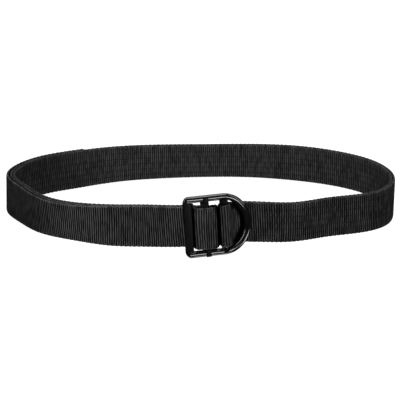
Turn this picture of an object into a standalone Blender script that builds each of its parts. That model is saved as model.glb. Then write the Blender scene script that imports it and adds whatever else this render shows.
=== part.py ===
# Tactical belt: a fastened webbing loop that stands on its lower edge, with a D-ended friction buckle.
# Metres, +Z up. The buckle faces -Y, +X runs to its D end, and the floor is z = 0.

import math

import bmesh
import bpy
import numpy as np
from mathutils import Euler, Matrix, Vector

MM = 0.001

# Webbing: one 38.1 mm (1.5 in) nylon webbing, in plies that lie a small gap apart.
WEBBING_WIDTH = 38.1 * MM
WEBBING_THICKNESS = 2.4 * MM
WEBBING_EDGE = 0.7 * MM
PLY_GAP = 0.3 * MM
PLY_PITCH = WEBBING_THICKNESS + PLY_GAP
SECTION_STEP = 9.0 * MM

# The loop's middle surface outside the buckle, a row for each section, anticlockwise from the D end:
# x and y of the lower edge in mm, lean of the top edge to the inside in degrees, height over the floor in mm.
LOOP_SECTIONS = [
    # x, y, lean, rise
    (85, -62, 3, 8.6),
    (120, -49, 3, 7.2),
    (151, -38, 3, 5.4),
    (178, -18, 3, 3.2),
    (186, 15, 0, 1.5),
    (173, 48, 2, 0.6),
    (141, 72, 3, 0.2),
    (100, 86, 3, 0.2),
    (55, 94, 8, 0.4),
    (5, 95, 10, 0.5),
    (-45, 91, 6, 0.3),
    (-90, 82, 0, 0.1),
    (-129, 66, -5, 0.8),
    (-164, 49, -2, 0.8),
    (-184, 18, 3, 1.5),
    (-170, -10, 2, 3.2),
    (-149, -35, -3, 5.4),
    (-118, -53, -6, 7.4),
    (-82, -69, 6, 9.2),
    (-50, -72, 11, 9.4),
]
LOOP_BOX_CENTRE = (-0.7, 7.7)

# The tail's clear gap to the belt body, from the left bar to its free end.
TAIL_GAPS = [
    # distance from the left bar in mm, gap in mm
    (0, 0.3),
    (90, 0.3),
    (160, 1.0),
    (215, 1.2),
    (298, 2.6),
]
TAIL_LENGTH = 298 * MM

# Buckle: its own frame has u along the rails to the D end, v up the bars, and w out to the front.
BUCKLE_CENTRE = (16.0, -71.2, 30.2)
BUCKLE_YAW = 9.4
BUCKLE_LEAN = 8.5
BUCKLE_ROLL = 2.0
BUCKLE_LENGTH = 62.4 * MM
BUCKLE_HEIGHT = 59.0 * MM
ROD_DIAMETER = 5.8 * MM
ROD_SIDES = 14
D_END_REACH = 25.2 * MM
D_END_STEPS = 22
LEFT_BAR_WIDTH = 8.0 * MM
LEFT_BAR_THICKNESS = 4.2 * MM
LEFT_BAR_CORNER = 6.0 * MM
CROSSBAR_DIAMETER = 6.0 * MM
CROSSBAR_U = 6.9 * MM

# Slide bar: a flat bar between the rails, with a hook at each end that holds a rail between two lugs.
SLIDE_U = -10.9 * MM
SLIDE_WIDTH = 8.0 * MM
SLIDE_THICKNESS = 3.2 * MM
LUG_U = -9.9 * MM
LUG_WIDTH = 4.7 * MM
LUG_THICKNESS = 1.2 * MM
LUG_FOOT = 2.2 * MM
FIT_GAP = 0.3 * MM

# Threading: where the webbing runs inside the buckle.
STRAP_DROP = 1.2 * MM
STRAP_SLOPE = -0.045
STRAIGHT_LEFT = 31.0 * MM
STRAIGHT_RIGHT = 32.0 * MM
HUMP_LEFT = -15.5 * MM
HUMP_RIGHT = -4.6 * MM
HUMP_FRONT = 3.7 * MM
HUMP_TURN = 4.0 * MM
CREVICE_TURN = 3.0 * MM
TURNED_BACK_LENGTH = 58.0 * MM
FOLD_STEP = 2.2 * MM

# Depths in the buckle, from its middle plane back to the middle of each ply.
HALF_PLY = WEBBING_THICKNESS / 2
TAIL_DEPTH = -(LEFT_BAR_THICKNESS / 2 + FIT_GAP + HALF_PLY)
BODY_DEPTH = TAIL_DEPTH - 1.5 * PLY_PITCH
D_END_DEPTH = -(ROD_DIAMETER / 2 + FIT_GAP + HALF_PLY)


def clear_scene():
    """Remove every object, so that the file holds only this model."""
    for old in list(bpy.data.objects):
        bpy.data.objects.remove(old, do_unlink=True)


def make_material(name, colour, roughness, metallic):
    """A plain Principled BSDF material with the part's colour and finish."""
    material = bpy.data.materials.new(name)
    material.use_nodes = True
    shader = material.node_tree.nodes["Principled BSDF"]
    shader.inputs["Base Color"].default_value = (*colour, 1.0)
    shader.inputs["Roughness"].default_value = roughness
    shader.inputs["Metallic"].default_value = metallic
    return material


def spline_slopes(knots, values, closed):
    """Slopes at the knots of the cubic curve whose bend is continuous; the rows of values are points."""
    count = len(knots)
    gaps = np.diff(knots)
    rises = np.diff(values, axis=0)
    matrix = np.zeros((count, count))
    right = np.zeros(values.shape)
    for i in range(1, count - 1):
        before, after = gaps[i - 1], gaps[i]
        matrix[i, i - 1], matrix[i, i], matrix[i, i + 1] = after, 2 * (before + after), before
        right[i] = 3 * (after * rises[i - 1] / before + before * rises[i] / after)
    if closed:
        before, after = gaps[-1], gaps[0]
        matrix[0, -2], matrix[0, 0], matrix[0, 1] = after, 2 * (before + after), before
        right[0] = 3 * (after * rises[-1] / before + before * rises[0] / after)
        matrix[-1, 0], matrix[-1, -1] = 1, -1
    else:
        matrix[0, 0], matrix[0, 1] = 2, 1
        right[0] = 3 * rises[0] / gaps[0]
        matrix[-1, -1], matrix[-1, -2] = 2, 1
        right[-1] = 3 * rises[-1] / gaps[-1]
    return np.linalg.solve(matrix, right)


def spline_at(knots, values, slopes, at):
    """Points and slopes of the cubic curve at the given places."""
    i = np.clip(np.searchsorted(knots, at, side="right") - 1, 0, len(knots) - 2)
    span = (knots[i + 1] - knots[i])[:, None]
    t = (np.asarray(at) - knots[i])[:, None] / span
    p0, p1 = values[i], values[i + 1]
    m0, m1 = slopes[i] * span, slopes[i + 1] * span
    point = p0 * (2 * t**3 - 3 * t**2 + 1) + m0 * (t**3 - 2 * t**2 + t)
    point = point + p1 * (3 * t**2 - 2 * t**3) + m1 * (t**3 - t**2)
    slope = (p1 - p0) * (6 * t - 6 * t**2) + m0 * (3 * t**2 - 4 * t + 1) + m1 * (3 * t**2 - 2 * t)
    return point, slope / span


def unit(rows):
    """Each row scaled to length one."""
    return rows / np.linalg.norm(rows, axis=1)[:, None]


def buckle_placement():
    """Location and rotation of the buckle: yaw about the upright, then lean back, then roll in its plane."""
    turn = Euler((-math.radians(BUCKLE_LEAN), -math.radians(BUCKLE_ROLL), math.radians(BUCKLE_YAW)), "YXZ")
    return Vector(BUCKLE_CENTRE) * MM - Vector((*LOOP_BOX_CENTRE, 0)) * MM, turn


def in_buckle(path):
    """Lower edge points and up vectors, in the world, of a ply whose path is rows of u and w in the buckle."""
    place, turn = buckle_placement()
    path = np.array(path)
    axes = np.array(turn.to_matrix())
    u, w = path[:, :1], path[:, 1:]
    drop = STRAP_SLOPE * u - STRAP_DROP - WEBBING_WIDTH / 2
    edge = np.array(place) + u * axes[:, 0] - w * axes[:, 1] + drop * axes[:, 2]
    return edge, np.repeat(axes[:, 2][None], len(path), axis=0)


class Loop:
    """The loop's middle surface: a place along it gives its lower edge, its up and its outward direction."""

    def __init__(self):
        table = np.array(LOOP_SECTIONS, dtype=float)
        place = (table[:, :2] - LOOP_BOX_CENTRE) * MM
        heading = unit(np.roll(place, -1, axis=0) - np.roll(place, 1, axis=0))
        lean = np.radians(table[:, 2:3])
        inward = np.column_stack([-heading[:, 1], heading[:, 0], np.zeros(len(table))])
        up = np.array([[0.0, 0.0, 1.0]]) * np.cos(lean) + inward * np.sin(lean)
        edge = np.column_stack([place, table[:, 3] * MM])
        right_depth = D_END_DEPTH - PLY_PITCH / 2
        right_edge, right_up = in_buckle([(STRAIGHT_RIGHT, right_depth)])
        left_edge, left_up = in_buckle([(-STRAIGHT_LEFT, BODY_DEPTH), (-STRAIGHT_LEFT / 2, BODY_DEPTH)])
        edge = np.vstack([right_edge, edge, left_edge, right_edge])
        up = np.vstack([right_up, up, left_up, right_up])
        self.values = np.hstack([edge, up])
        self.knots = np.concatenate([[0], np.cumsum(np.linalg.norm(np.diff(edge, axis=0), axis=1))])
        self.slopes = spline_slopes(self.knots, self.values, closed=True)
        self.end = self.knots[-3]

    def frames(self, along):
        """Lower edge, up and outward vectors at places along the loop, from the D end to the left bar."""
        value, slope = spline_at(self.knots, self.values, self.slopes, along)
        up = unit(value[:, 3:])
        return value[:, :3], up, unit(np.cross(slope[:, :3], up))


def arc(centre_u, centre_w, radius, start, end, steps):
    """Points of an arc in the buckle's u and w, angles in degrees from the u axis."""
    angles = np.radians(np.linspace(start, end, steps))
    return [(centre_u + radius * math.cos(a), centre_w + radius * math.sin(a)) for a in angles]


def fold_path():
    """The webbing's fold: in from the right behind the crossbar, round it, out behind the D end."""
    radius = CROSSBAR_DIAMETER / 2 + FIT_GAP + HALF_PLY
    inner = D_END_DEPTH - PLY_PITCH
    path = [
        (26 * MM, inner),
        (21 * MM, inner),
        (16.5 * MM, -6.8 * MM),
        (12 * MM, -5.6 * MM),
    ]
    path += arc(CROSSBAR_U, 0, radius, -92, -315, 11)
    path += [
        (12.6 * MM, 0.4 * MM),
        (14.9 * MM, -2.3 * MM),
        (17.3 * MM, -3.9 * MM),
        (20.5 * MM, D_END_DEPTH),
        (26 * MM, D_END_DEPTH),
    ]
    return path


def threading_path():
    """The webbing's threading: under the left bar and the slide bar, up, over the slide bar, back out."""
    outer_depth = TAIL_DEPTH - PLY_PITCH
    under = -(SLIDE_THICKNESS / 2 + 1.8 * MM)
    crevice_u = HUMP_RIGHT + HUMP_TURN
    path = [
        (-26 * MM, outer_depth),
        (-21.5 * MM, outer_depth),
        (-17.5 * MM, -5.4 * MM),
        (-13 * MM, -3.9 * MM),
        (-8 * MM, under),
    ]
    path += arc(crevice_u - CREVICE_TURN, under + CREVICE_TURN, CREVICE_TURN, -90, 0, 6)
    path += arc(HUMP_RIGHT, HUMP_FRONT - HUMP_TURN, HUMP_TURN, 15, 90, 5)
    path += [((HUMP_LEFT + HUMP_RIGHT) / 2, HUMP_FRONT)]
    path += arc(HUMP_LEFT, HUMP_FRONT - HUMP_TURN, HUMP_TURN, 90, 180, 6)
    turn = HUMP_FRONT - HUMP_TURN - TAIL_DEPTH
    path += arc(HUMP_LEFT - HUMP_TURN - turn, TAIL_DEPTH + turn, turn, -15, -90, 5)
    path += [(-26 * MM, TAIL_DEPTH)]
    return path


def stations(start, end):
    """Places along the loop on the grid that all plies share, from start to end in either direction."""
    low, high = min(start, end), max(start, end)
    grid = np.arange(math.ceil(low / SECTION_STEP) * SECTION_STEP, high, SECTION_STEP)
    inside = grid[(grid > low + SECTION_STEP / 3) & (grid < high - SECTION_STEP / 3)]
    line = np.concatenate([[low], inside, [high]])
    return line if end > start else line[::-1]


def on_loop(loop, along, offset):
    """Lower edge points, up and face vectors of a ply at places along the loop and an outward offset.

    The face vector is the one to the right of the way the ply runs: outward on a forward run.
    """
    edge, up, out = loop.frames(along)
    facing = out if along[-1] > along[0] else -out
    return edge + out * np.reshape(offset, (-1, 1)), up, facing


def ply_sections(runs):
    """Centre line, up and outward vectors of a ply made of runs, each on the loop or through the buckle.

    A run on the loop brings its own outward vectors; a run through the buckle is cut in short steps and
    takes them from its own path.
    """
    edges = np.vstack([run[0] for run in runs])
    ups = np.vstack([run[1] for run in runs])
    given = np.vstack([run[2] if len(run) == 3 else np.zeros(run[0].shape) for run in runs])
    fine = ~given.any(axis=1)
    knots = np.concatenate([[0], np.cumsum(np.linalg.norm(np.diff(edges, axis=0), axis=1))])
    at, own = [knots[0]], [given[0]]
    for i in range(1, len(knots)):
        step = knots[i] - knots[i - 1]
        pieces = max(1, round(step / FOLD_STEP)) if fine[i - 1] or fine[i] else 1
        at += [knots[i - 1] + step * (k + 1) / pieces for k in range(pieces)]
        own += [np.zeros(3)] * (pieces - 1) + [given[i]]
    both = np.hstack([edges, ups])
    point, slope = spline_at(knots, both, spline_slopes(knots, both, closed=False), np.array(at))
    up = unit(point[:, 3:])
    out = unit(np.cross(slope[:, :3], up))
    own = np.array(own)
    return point[:, :3], up, np.where(own.any(axis=1)[:, None], own, out)


def ply_object(name, sections, material):
    """A closed strip: the webbing's eight-cornered section carried along the ply, with flat ends.

    The wide faces twist a little, so each is split along the diagonal that climbs in the loop's own
    direction: plies that lie against each other are then split alike and keep their gap.
    """
    edge, up, out = sections
    half, bevel = WEBBING_THICKNESS / 2, WEBBING_EDGE
    corners = [
        (-half, bevel),
        (-half + bevel, 0),
        (half - bevel, 0),
        (half, bevel),
        (half, WEBBING_WIDTH - bevel),
        (half - bevel, WEBBING_WIDTH),
        (-half + bevel, WEBBING_WIDTH),
        (-half, WEBBING_WIDTH - bevel),
    ]
    mesh = bpy.data.meshes.new(name)
    shape = bmesh.new()
    rings = []
    for at in range(len(edge)):
        places = [edge[at] + out[at] * across + up[at] * high for across, high in corners]
        rings.append([shape.verts.new(place) for place in places])
    steps = np.diff(edge, axis=0)
    forward = edge[:-1, 0] * steps[:, 1] - edge[:-1, 1] * steps[:, 0] > 0
    for near, far, ahead in zip(rings[:-1], rings[1:], forward):
        for k in range(len(corners)):
            after = (k + 1) % len(corners)
            a, b, c, d = near[k], near[after], far[after], far[k]
            if (k == 3) == bool(ahead):
                shape.faces.new((a, b, c))
                shape.faces.new((a, c, d))
            else:
                shape.faces.new((a, b, d))
                shape.faces.new((b, c, d))
    shape.faces.new(rings[0])
    shape.faces.new(rings[-1][::-1])
    bmesh.ops.recalc_face_normals(shape, faces=shape.faces)
    shape.to_mesh(mesh)
    shape.free()
    mesh.shade_smooth()
    mesh.set_sharp_from_angle(angle=math.radians(35))
    return add_object(name, mesh, material)


def add_object(name, mesh, material, parent=None):
    """Link a mesh as a named object with its material, under a parent if there is one."""
    made = bpy.data.objects.new(name, mesh)
    bpy.context.scene.collection.objects.link(made)
    made.parent = parent
    if material:
        made.data.materials.append(material)
    return made


def webbing_outer(loop, material):
    """The long webbing: turned-back end, fold, outer ply of the loop, threading and tail."""
    side = PLY_PITCH / 2
    back = stations(TURNED_BACK_LENGTH, 0)
    round_loop = stations(0, loop.end)
    tail = stations(loop.end, loop.end - TAIL_LENGTH)
    gap = np.interp(loop.end - tail, *np.transpose(np.array(TAIL_GAPS) * MM))
    tail_offset = side + WEBBING_THICKNESS + gap
    runs = [
        on_loop(loop, back, -side),
        in_buckle(fold_path()),
        on_loop(loop, round_loop, side),
        in_buckle(threading_path()),
        on_loop(loop, tail, tail_offset),
    ]
    return ply_object("webbing_outer", ply_sections(runs), material)


def webbing_inner(loop, material):
    """The body's second ply, from the turned-back end round the inside to its end behind the left bar."""
    depth = BODY_DEPTH - PLY_PITCH / 2
    runs = [
        on_loop(loop, stations(TURNED_BACK_LENGTH + PLY_GAP, loop.end), -PLY_PITCH / 2),
        in_buckle([(-26 * MM, depth), (-20 * MM, depth)]),
    ]
    return ply_object("webbing_inner", ply_sections(runs), material)


def frame_rod_mesh():
    """The rod of the rails and the D end: a round section carried along a line, a half ellipse and a line."""
    radius = ROD_DIAMETER / 2
    high = BUCKLE_HEIGHT / 2 - radius
    reach = D_END_REACH - radius
    start_u = -BUCKLE_LENGTH / 2 + LEFT_BAR_WIDTH / 2
    turn_u = BUCKLE_LENGTH / 2 - D_END_REACH
    rail_steps = 4
    path = [(start_u + (turn_u - start_u) * k / rail_steps, high) for k in range(rail_steps)]
    for k in range(D_END_STEPS + 1):
        angle = math.pi / 2 - math.pi * k / D_END_STEPS
        path.append((turn_u + reach * math.cos(angle), high * math.sin(angle)))
    path += [(start_u + (turn_u - start_u) * k / rail_steps, -high) for k in reversed(range(rail_steps))]
    path = np.array(path)
    heading = unit(np.gradient(path, axis=0))
    mesh = bpy.data.meshes.new("buckle_frame")
    shape = bmesh.new()
    rings = []
    for (u, v), (du, dv) in zip(path, heading):
        ring = []
        for k in range(ROD_SIDES):
            angle = 2 * math.pi * (k + 0.5) / ROD_SIDES
            side, out = radius * math.cos(angle), radius * math.sin(angle)
            ring.append(shape.verts.new((u - dv * side, -out, v + du * side)))
        rings.append(ring)
    for near, far in zip(rings[:-1], rings[1:]):
        for k in range(ROD_SIDES):
            after = (k + 1) % ROD_SIDES
            shape.faces.new((near[k], near[after], far[after], far[k]))
    shape.faces.new(rings[0])
    shape.faces.new(rings[-1][::-1])
    bmesh.ops.recalc_face_normals(shape, faces=shape.faces)
    shape.to_mesh(mesh)
    shape.free()
    return mesh


def plate_mesh(name, outline, depth, bevel):
    """A flat bar: an outline in u and v, extruded through its thickness, with its edges bevelled."""
    mesh = bpy.data.meshes.new(name)
    shape = bmesh.new()
    front = [shape.verts.new((u, -depth / 2, v)) for u, v in outline]
    face = shape.faces.new(front)
    grown = bmesh.ops.extrude_face_region(shape, geom=[face])
    moved = [item for item in grown["geom"] if isinstance(item, bmesh.types.BMVert)]
    bmesh.ops.translate(shape, vec=(0, depth, 0), verts=moved)
    bmesh.ops.recalc_face_normals(shape, faces=shape.faces)
    rims = [edge for edge in shape.edges if abs(edge.verts[0].co.y - edge.verts[1].co.y) < depth / 2]
    if bevel:
        bmesh.ops.bevel(shape, geom=rims, offset=bevel, segments=2, profile=0.6, affect="EDGES")
    shape.to_mesh(mesh)
    shape.free()
    return mesh


def rounded_outline(left, right, bottom, top, left_corner, right_corner, steps):
    """A rectangle in u and v whose left and right corners have their own radii."""
    points = []
    corners = [
        (right, top, right_corner, -1, -1, 0),
        (left, top, left_corner, 1, -1, 90),
        (left, bottom, left_corner, 1, 1, 180),
        (right, bottom, right_corner, -1, 1, 270),
    ]
    for u, v, radius, toward_u, toward_v, start in corners:
        for k in range(steps + 1):
            angle = math.radians(start + 90 * k / steps)
            centre_u, centre_v = u + toward_u * radius, v + toward_v * radius
            points.append((centre_u + radius * math.cos(angle), centre_v + radius * math.sin(angle)))
    return points


def hide_helper(made):
    """Mark a helper solid as one that only shapes another."""
    made.hide_render = True
    made.display_type = "WIRE"


def join_solids(base, helpers):
    """Boolean unions of the base with its helper solids, kept as modifiers."""
    for helper in helpers:
        hide_helper(helper)
        union = base.modifiers.new("join " + helper.name, "BOOLEAN")
        union.operation = "UNION"
        union.object = helper


def buckle_frame(seat, material):
    """One soldered piece: the rod of the rails and D end, the flat left bar and the fixed crossbar."""
    frame = add_object("buckle_frame", frame_rod_mesh(), material, seat)
    half_height = BUCKLE_HEIGHT / 2
    left = -BUCKLE_LENGTH / 2
    outline = rounded_outline(
        left, left + LEFT_BAR_WIDTH, -half_height, half_height, LEFT_BAR_CORNER, 1.6 * MM, 5
    )
    bar = add_object("left_bar", plate_mesh("left_bar", outline, LEFT_BAR_THICKNESS, 0.9 * MM), None, seat)
    cross = crossbar_object(seat)
    join_solids(frame, [bar, cross])
    frame.data.shade_smooth()
    frame.data.set_sharp_from_angle(angle=math.radians(35))
    return frame


def crossbar_object(seat):
    """The fixed crossbar: a round bar whose ends stand inside the rails."""
    mesh = bpy.data.meshes.new("crossbar")
    shape = bmesh.new()
    length = BUCKLE_HEIGHT - ROD_DIAMETER
    radius = CROSSBAR_DIAMETER / 2
    bmesh.ops.create_cone(
        shape, cap_ends=True, segments=ROD_SIDES, radius1=radius, radius2=radius, depth=length
    )
    bmesh.ops.translate(shape, vec=(CROSSBAR_U, 0, 0), verts=shape.verts)
    shape.to_mesh(mesh)
    shape.free()
    return add_object("crossbar", mesh, None, seat)


def hook_outline(side, inner_v, rail_v):
    """The end of the slide bar seen along the bar: a foot, a long lug before the rail and a short one behind."""
    near = ROD_DIAMETER / 2 + FIT_GAP
    far = near + LUG_THICKNESS
    foot = inner_v - LUG_FOOT
    front, back = rail_v + 0.9 * ROD_DIAMETER / 2, rail_v + 0.2 * ROD_DIAMETER / 2
    points = [
        (-far, foot),
        (-far, back),
        (-near, back),
        (-near, inner_v),
        (near, inner_v),
        (near, front),
        (far, front),
        (far, foot),
    ]
    return [(w, side * v) for w, v in points]


def slide_bar(seat, material):
    """The friction bar: a flat bar with a hook at each end that holds a rail between two lugs."""
    rail_v = BUCKLE_HEIGHT / 2 - ROD_DIAMETER / 2
    inner_v = rail_v - ROD_DIAMETER / 2 - FIT_GAP
    flat = rounded_outline(
        SLIDE_U - SLIDE_WIDTH / 2, SLIDE_U + SLIDE_WIDTH / 2, -inner_v, inner_v, 0.8 * MM, 0.8 * MM, 2
    )
    bar = add_object("slide_bar", plate_mesh("slide_bar", flat, SLIDE_THICKNESS, 0.6 * MM), material, seat)
    hooks = []
    for side, name in ((1, "hook_top"), (-1, "hook_bottom")):
        mesh = plate_mesh(name, hook_outline(side, inner_v, rail_v), LUG_WIDTH, 0.35 * MM)
        mesh.transform(Matrix.Translation((LUG_U, 0, 0)) @ Matrix.Rotation(-math.pi / 2, 4, "Z"))
        hooks.append(add_object(name, mesh, None, seat))
    join_solids(bar, hooks)
    bar.data.shade_smooth()
    bar.data.set_sharp_from_angle(angle=math.radians(35))
    return bar


def main():
    clear_scene()
    nylon = make_material("black_nylon_webbing", (0.012, 0.012, 0.013), 0.85, 0.0)
    steel = make_material("black_coated_steel", (0.010, 0.010, 0.011), 0.32, 0.6)
    loop = Loop()
    place, turn = buckle_placement()
    seat = bpy.data.objects.new("buckle_seat", None)
    bpy.context.scene.collection.objects.link(seat)
    seat.location = place
    seat.rotation_mode = "YXZ"
    seat.rotation_euler = (turn.x, turn.y, turn.z)
    webbing_outer(loop, nylon)
    webbing_inner(loop, nylon)
    buckle_frame(seat, steel)
    slide_bar(seat, steel)


main()
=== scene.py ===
# %% [markdown]
# # A tactical belt
# The object is a stiff belt of black nylon webbing, fastened in a loop and standing on its lower edge.
# Its buckle is a glossy black metal frame with a D-shaped end. This file dresses the CAD model of the
# belt: it makes the ribbed webbing, its stitches and the smooth metal, then adds the floor, the light and
# the camera.

import math

import bmesh
import bpy
import numpy as np
from mathutils import Euler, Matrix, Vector


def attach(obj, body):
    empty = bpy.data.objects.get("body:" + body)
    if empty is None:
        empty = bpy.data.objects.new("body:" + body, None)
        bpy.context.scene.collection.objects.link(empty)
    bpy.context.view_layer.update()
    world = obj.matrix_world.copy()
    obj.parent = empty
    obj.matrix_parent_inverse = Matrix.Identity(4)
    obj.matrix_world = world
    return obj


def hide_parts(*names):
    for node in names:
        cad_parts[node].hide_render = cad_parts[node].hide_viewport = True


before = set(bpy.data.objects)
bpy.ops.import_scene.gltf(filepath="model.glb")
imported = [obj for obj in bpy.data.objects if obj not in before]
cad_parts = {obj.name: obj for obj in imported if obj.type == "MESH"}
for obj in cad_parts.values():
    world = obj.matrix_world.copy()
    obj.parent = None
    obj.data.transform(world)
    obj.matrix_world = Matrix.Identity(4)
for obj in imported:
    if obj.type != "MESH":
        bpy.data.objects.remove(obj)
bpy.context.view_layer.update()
MM = 0.001
print("nodes:", sorted(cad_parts))

# %% [markdown]
# ## Sizes
# The webbing is the common 38.1 mm width. All sizes are the model's own, in millimetres, so that each new
# surface lies just where its CAD solid does. The loop's shape is a table with one row for each section of
# its lower edge. A spline through few rows gives the long easy bends of stiff webbing.

# %% Webbing and loop sizes
WEBBING_WIDTH = 38.1 * MM
WEBBING_THICKNESS = 2.4 * MM
PLY_GAP = 0.3 * MM
PLY_PITCH = WEBBING_THICKNESS + PLY_GAP
HALF_PLY, HALF_PITCH = WEBBING_THICKNESS / 2, PLY_PITCH / 2
LOOP_SECTIONS = np.array(
    [
        # x and y in mm, lean of the top edge to the inside in degrees, rise over the floor in mm
        (85, -62, 3, 8.6),
        (120, -49, 3, 7.2),
        (151, -38, 3, 5.4),
        (178, -18, 3, 3.2),
        (186, 15, 0, 1.5),
        (173, 48, 2, 0.6),
        (141, 72, 3, 0.2),
        (100, 86, 3, 0.2),
        (55, 94, 8, 0.4),
        (5, 95, 10, 0.5),
        (-45, 91, 6, 0.3),
        (-90, 82, 0, 0.1),
        (-129, 66, -5, 0.8),
        (-164, 49, -2, 0.8),
        (-184, 18, 3, 1.5),
        (-170, -10, 2, 3.2),
        (-149, -35, -3, 5.4),
        (-118, -53, -6, 7.4),
        (-82, -69, 6, 9.2),
        (-50, -72, 11, 9.4),
    ]
)
LOOP_BOX_CENTRE = (-0.7, 7.7)
LOOP_STEP = 3 * MM  # from one point of a ply's line to the next
# The tail's gap to the body, at distances along it from the buckle: it bows away a little, then lies flat.
TAIL_GAPS = np.array([(0, 0.3), (90, 0.3), (160, 1.0), (215, 1.2), (255, 0.9), (298, 0.3)]) * MM
TAIL_LENGTH = 298 * MM
TURNED_BACK_LENGTH = 58 * MM

# %% Buckle sizes
# Places in the buckle are u, v and w: along the rails to the D end, up the bars, and out to the front.
BUCKLE_CENTRE = (16.0, -71.2, 30.2)
BUCKLE_YAW, BUCKLE_LEAN, BUCKLE_ROLL = 9.4, 8.5, 2.0
BUCKLE_LENGTH, BUCKLE_HEIGHT = 62.4 * MM, 59.0 * MM
ROD_DIAMETER = 5.8 * MM
ROD_RADIUS = ROD_DIAMETER / 2
COAT = 0.28 * MM  # the black coat, a little heavy, so that the rod looks as stout as the real one
D_END_REACH = 25.2 * MM
RAIL_V = BUCKLE_HEIGHT / 2 - ROD_RADIUS  # how far each rail's middle is from the buckle's middle
D_END_U = BUCKLE_LENGTH / 2 - D_END_REACH  # where the rails start to bend round the D end
D_END_HALF = D_END_REACH - ROD_RADIUS  # how far the rod's middle goes on from there
LEFT_BAR_WIDTH, LEFT_BAR_THICKNESS = 8.0 * MM, 4.2 * MM
LEFT_BAR_CORNER, LEFT_BAR_INNER_CORNER = 6.0 * MM, 1.6 * MM
CROSSBAR_DIAMETER, CROSSBAR_U = 6.0 * MM, 6.9 * MM
SLIDE_U, SLIDE_WIDTH, SLIDE_THICKNESS = -10.9 * MM, 8.0 * MM, 3.2 * MM
UNDER_SLIDE = 1.8 * MM  # from the slide bar's back to the middle of the webbing under it
LUG_U, LUG_WIDTH, LUG_THICKNESS, LUG_FOOT = -9.9 * MM, 4.7 * MM, 1.2 * MM, 2.2 * MM
FIT_GAP = 0.3 * MM
INNER_V = BUCKLE_HEIGHT / 2 - ROD_DIAMETER - FIT_GAP  # the slide bar's half length, between the rails
STRAP_DROP, STRAP_SLOPE = 1.2 * MM, -0.045
STRAIGHT_LEFT, STRAIGHT_RIGHT = 31.0 * MM, 32.0 * MM
HUMP_LEFT, HUMP_RIGHT, HUMP_FRONT, HUMP_TURN = -16.8 * MM, -4.7 * MM, 3.7 * MM, 4.0 * MM
CREVICE_U, CREVICE_W, CREVICE_TURN = -0.9 * MM, -2.5 * MM, 1.5 * MM
THREADING_DROP, THREADING_TILT, FOLD_RISE = 0.8 * MM, 0.035, 0.6 * MM
TILT_RISE = [0.5 * MM, 5.5 * MM]  # the tilt grows between these distances to the left of the middle
LOWER_LUG_FOOT = 1.1 * MM  # shorter than the upper one, because the webbing hangs low in the buckle
CROSSBAR_FOOT = 1.0 * MM  # the weld that thickens the crossbar where it meets the rails
TAIL_DEPTH = -(LEFT_BAR_THICKNESS / 2 + FIT_GAP + HALF_PLY)
BODY_DEPTH = TAIL_DEPTH - 1.5 * PLY_PITCH
D_END_DEPTH = -(ROD_RADIUS + FIT_GAP + HALF_PLY)
print(f"buckle {BUCKLE_LENGTH / MM:.1f} x {BUCKLE_HEIGHT / MM:.1f} mm")

# %% [markdown]
# ## The line that the webbing follows
# Every ply of the belt lies beside one line round the loop. The line could be a Blender curve, but the
# plies need exact distances from it, so it is a cubic spline worked out here. Its bend never jumps, and
# stiff webbing doesn't kink either.


# %% A smooth spline
def unit(rows):
    """Rows scaled to length one."""
    return rows / np.linalg.norm(rows, axis=-1, keepdims=True)


def spline_slopes(knots, points, closed=False):
    """Slopes m for which the curve's bend is the same on both sides of each knot:
    after*m[i-1] + 2(before+after)*m[i] + before*m[i+1] = 3(after*rise/before + before*next rise/after).
    An open end is left without bend: 2*m[end] + m[next] = 3*rise/gap."""
    gap, rise = np.diff(knots)[:, None], np.diff(points, axis=0)
    if closed:
        one = np.eye(len(gap))
        before, last = np.roll(gap, 1, axis=0), np.roll(rise, 1, axis=0)
        neighbours = gap * np.roll(one, -1, axis=1) + before * np.roll(one, 1, axis=1)
        matrix = 2 * (before + gap) * one + neighbours
        slopes = np.linalg.solve(matrix, 3 * (gap * last / before + before * rise / gap))
        return np.vstack([slopes, slopes[:1]])
    one = np.eye(len(knots))
    before, after = gap[:-1], gap[1:]
    middle = after * one[:-2] + 2 * (before + after) * one[1:-1] + before * one[2:]
    right = 3 * (after * rise[:-1] / before + before * rise[1:] / after)
    matrix = np.vstack([2 * one[:1] + one[1:2], middle, one[-2:-1] + 2 * one[-1:]])
    ends = 3 * rise[[0, -1]] / gap[[0, -1]]
    return np.linalg.solve(matrix, np.vstack([ends[:1], right, ends[1:]]))


def spline_at(knots, points, slopes, at):
    """Hermite cubic between the two knots beside each place, and its slope; at may have any shape."""
    i = np.clip(np.searchsorted(knots, at, side="right") - 1, 0, len(knots) - 2)
    span = (knots[i + 1] - knots[i])[..., None]
    t = (at - knots[i])[..., None] / span
    p, q, m, n = points[i], points[i + 1], slopes[i] * span, slopes[i + 1] * span
    place = p * (2 * t**3 - 3 * t**2 + 1) + q * (3 * t**2 - 2 * t**3)
    place = place + m * (t**3 - 2 * t**2 + t) + n * (t**3 - t**2)
    slope = (q - p) * (6 * t - 6 * t**2) + m * (3 * t**2 - 4 * t + 1) + n * (3 * t**2 - 2 * t)
    return place, slope / span


# %% The buckle's own axes
buckle_place = np.array(BUCKLE_CENTRE) * MM - np.array([*LOOP_BOX_CENTRE, 0]) * MM
turn = Euler((-math.radians(BUCKLE_LEAN), -math.radians(BUCKLE_ROLL), math.radians(BUCKLE_YAW)), "YXZ")
u_axis, to_back, v_axis = np.array(turn.to_matrix()).T
w_axis = -to_back
print("the rails point along", u_axis.round(3))


def from_buckle(u, v, w):
    """World places of buckle places: middle + u * u axis + v * v axis + w * w axis."""
    u, v, w = (values[..., None] for values in np.broadcast_arrays(u, v, w))
    return buckle_place + u * u_axis + v * v_axis + w * w_axis


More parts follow.
